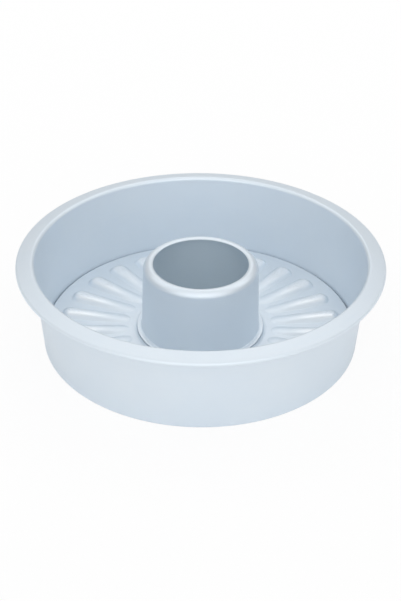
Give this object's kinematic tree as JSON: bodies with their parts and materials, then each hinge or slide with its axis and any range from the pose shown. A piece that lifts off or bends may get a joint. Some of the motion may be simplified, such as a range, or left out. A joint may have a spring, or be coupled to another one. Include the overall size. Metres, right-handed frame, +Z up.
{
  "type": "angel food cake pan",
  "caption": "Round tapered cake pan with a rolled rim, a lift-out ribbed base and an open centre tube, for baking a tall ring-shaped sponge.",
  "frame": {"origin": "centre of the pan's foot, on the surface it stands on", "axes": "+Z up along the pan's axis, +X and +Y level, with a rib centred on +Y"},
  "size_m": [0.2824, 0.2824, 0.071],
  "materials": {
    "pan_shell": "fine satin anodised, pale silver-blue",
    "base_plate": "fine satin anodised, pale silver-blue",
    "centre_tube": "fine satin anodised, pale silver-blue"
  },
  "bodies": {
    "pan": {"pan_shell": "pan_shell"},
    "insert": {"base_plate": "base_plate", "centre_tube": "centre_tube"}
  },
  "joints": [
    {"name": "insert_lift", "type": "slide", "parent": "pan", "child": "insert", "axis": [0, 0, 1], "range_m": [0, 0.08]}
  ]
}
